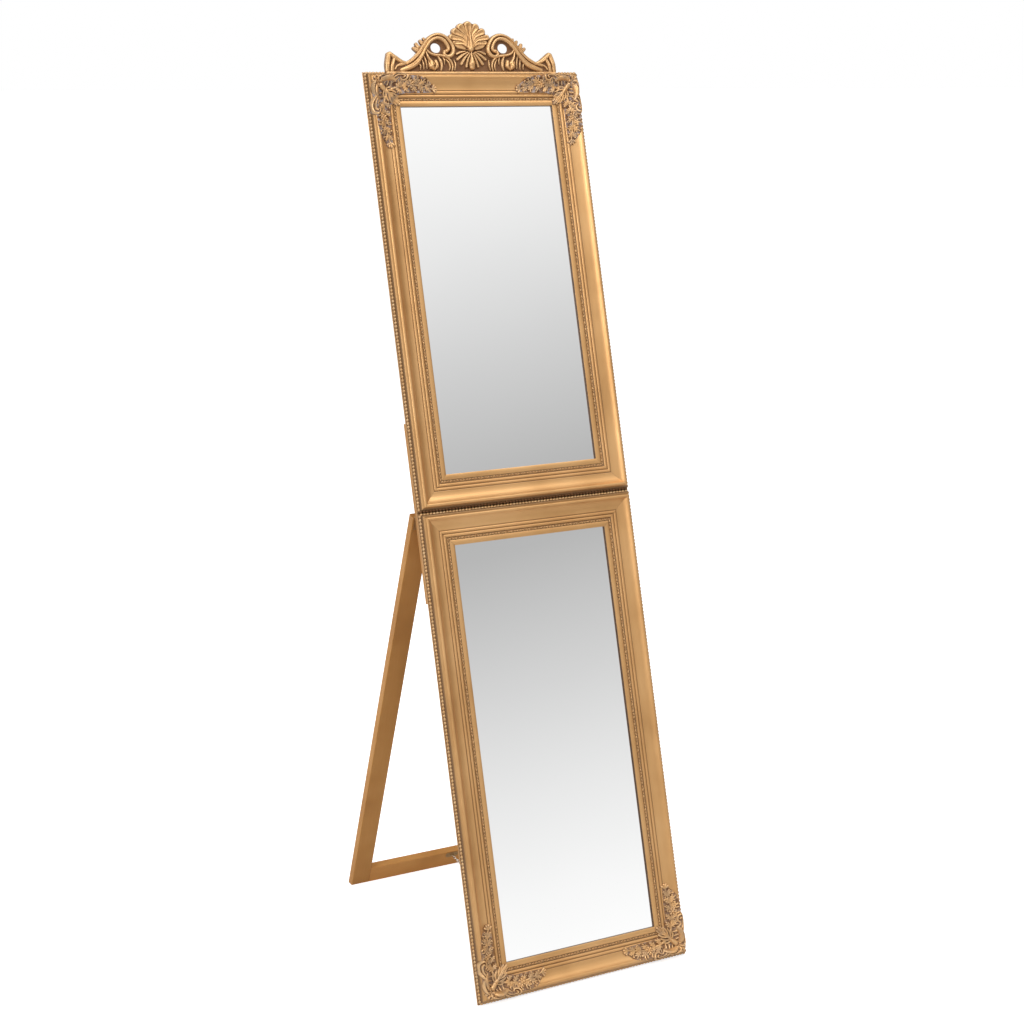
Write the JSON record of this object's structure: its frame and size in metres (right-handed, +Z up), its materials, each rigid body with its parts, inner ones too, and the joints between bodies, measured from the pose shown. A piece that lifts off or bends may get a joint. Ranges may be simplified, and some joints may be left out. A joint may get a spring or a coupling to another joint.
{
  "type": "floor mirror with folding rear stand",
  "caption": "Tall two-section floor mirror in ornate gilt frames with a shell crest, leaning back on a hinged rear easel stand held by a stay chain.",
  "frame": {"origin": "on the floor, at the middle of the whole object's footprint", "axes": "+Z up; the mirrors face -Y and lean back towards +Y; +X is to the right as seen from the front"},
  "size_m": [0.45, 0.5862, 1.7212],
  "materials": {
    "gold_moulding": "wood and compo moulding in satin metallic gold paint",
    "gold_casting": "cast resin in gold paint with a brown and grey wash in the hollows",
    "gold_stand": "flat board in satin metallic gold paint",
    "mirror_glass": "silvered float glass",
    "hardboard": "bare brown hardboard",
    "bare_wood": "bare pale wood",
    "nickel_chain": "nickel-plated steel wire",
    "zinc_steel": "zinc-plated pressed steel"
  },
  "bodies": {
    "mirrors": {"lower_left_stile": "gold_moulding", "lower_right_stile": "gold_moulding", "lower_top_rail": "gold_moulding", "lower_bottom_rail": "gold_moulding", "upper_left_stile": "gold_moulding", "upper_right_stile": "gold_moulding", "upper_top_rail": "gold_moulding", "upper_bottom_rail": "gold_moulding", "lower_mirror": "mirror_glass", "upper_mirror": "mirror_glass", "lower_backing_board": "hardboard", "upper_backing_board": "hardboard", "lower_corner_nails": "zinc_steel", "upper_corner_nails": "zinc_steel", "lower_glazing_points": "zinc_steel", "upper_glazing_points": "zinc_steel", "lower_left_corner_ornament": "gold_casting", "lower_right_corner_ornament": "gold_casting", "upper_left_corner_ornament": "gold_casting", "upper_right_corner_ornament": "gold_casting", "crest": "gold_casting", "crest_pads": "bare_wood", "crest_straps": "zinc_steel", "crest_screws": "zinc_steel", "left_batten": "gold_stand", "right_batten": "gold_stand", "batten_screws": "zinc_steel", "left_fixed_leaf": "zinc_steel", "right_fixed_leaf": "zinc_steel", "left_hinge_pin": "zinc_steel", "right_hinge_pin": "zinc_steel", "fixed_leaf_screws": "zinc_steel", "panel_chain_plate": "zinc_steel", "panel_plate_screws": "zinc_steel", "stay_chain": "nickel_chain"},
    "stand": {"left_stand_leg": "gold_stand", "right_stand_leg": "gold_stand", "stand_rail": "gold_stand", "rail_dowels": "bare_wood", "left_moving_leaf": "zinc_steel", "right_moving_leaf": "zinc_steel", "moving_leaf_screws": "zinc_steel", "rail_chain_plate": "zinc_steel", "rail_plate_screws": "zinc_steel"}
  },
  "joints": [
    {"name": "stand_fold", "type": "hinge", "parent": "mirrors", "child": "stand", "pos_m": [0, 0.00721, 0.84502], "axis": [1, 0, 0], "range_deg": [-34.9, 0], "deforming": ["stay_chain"]}
  ]
}
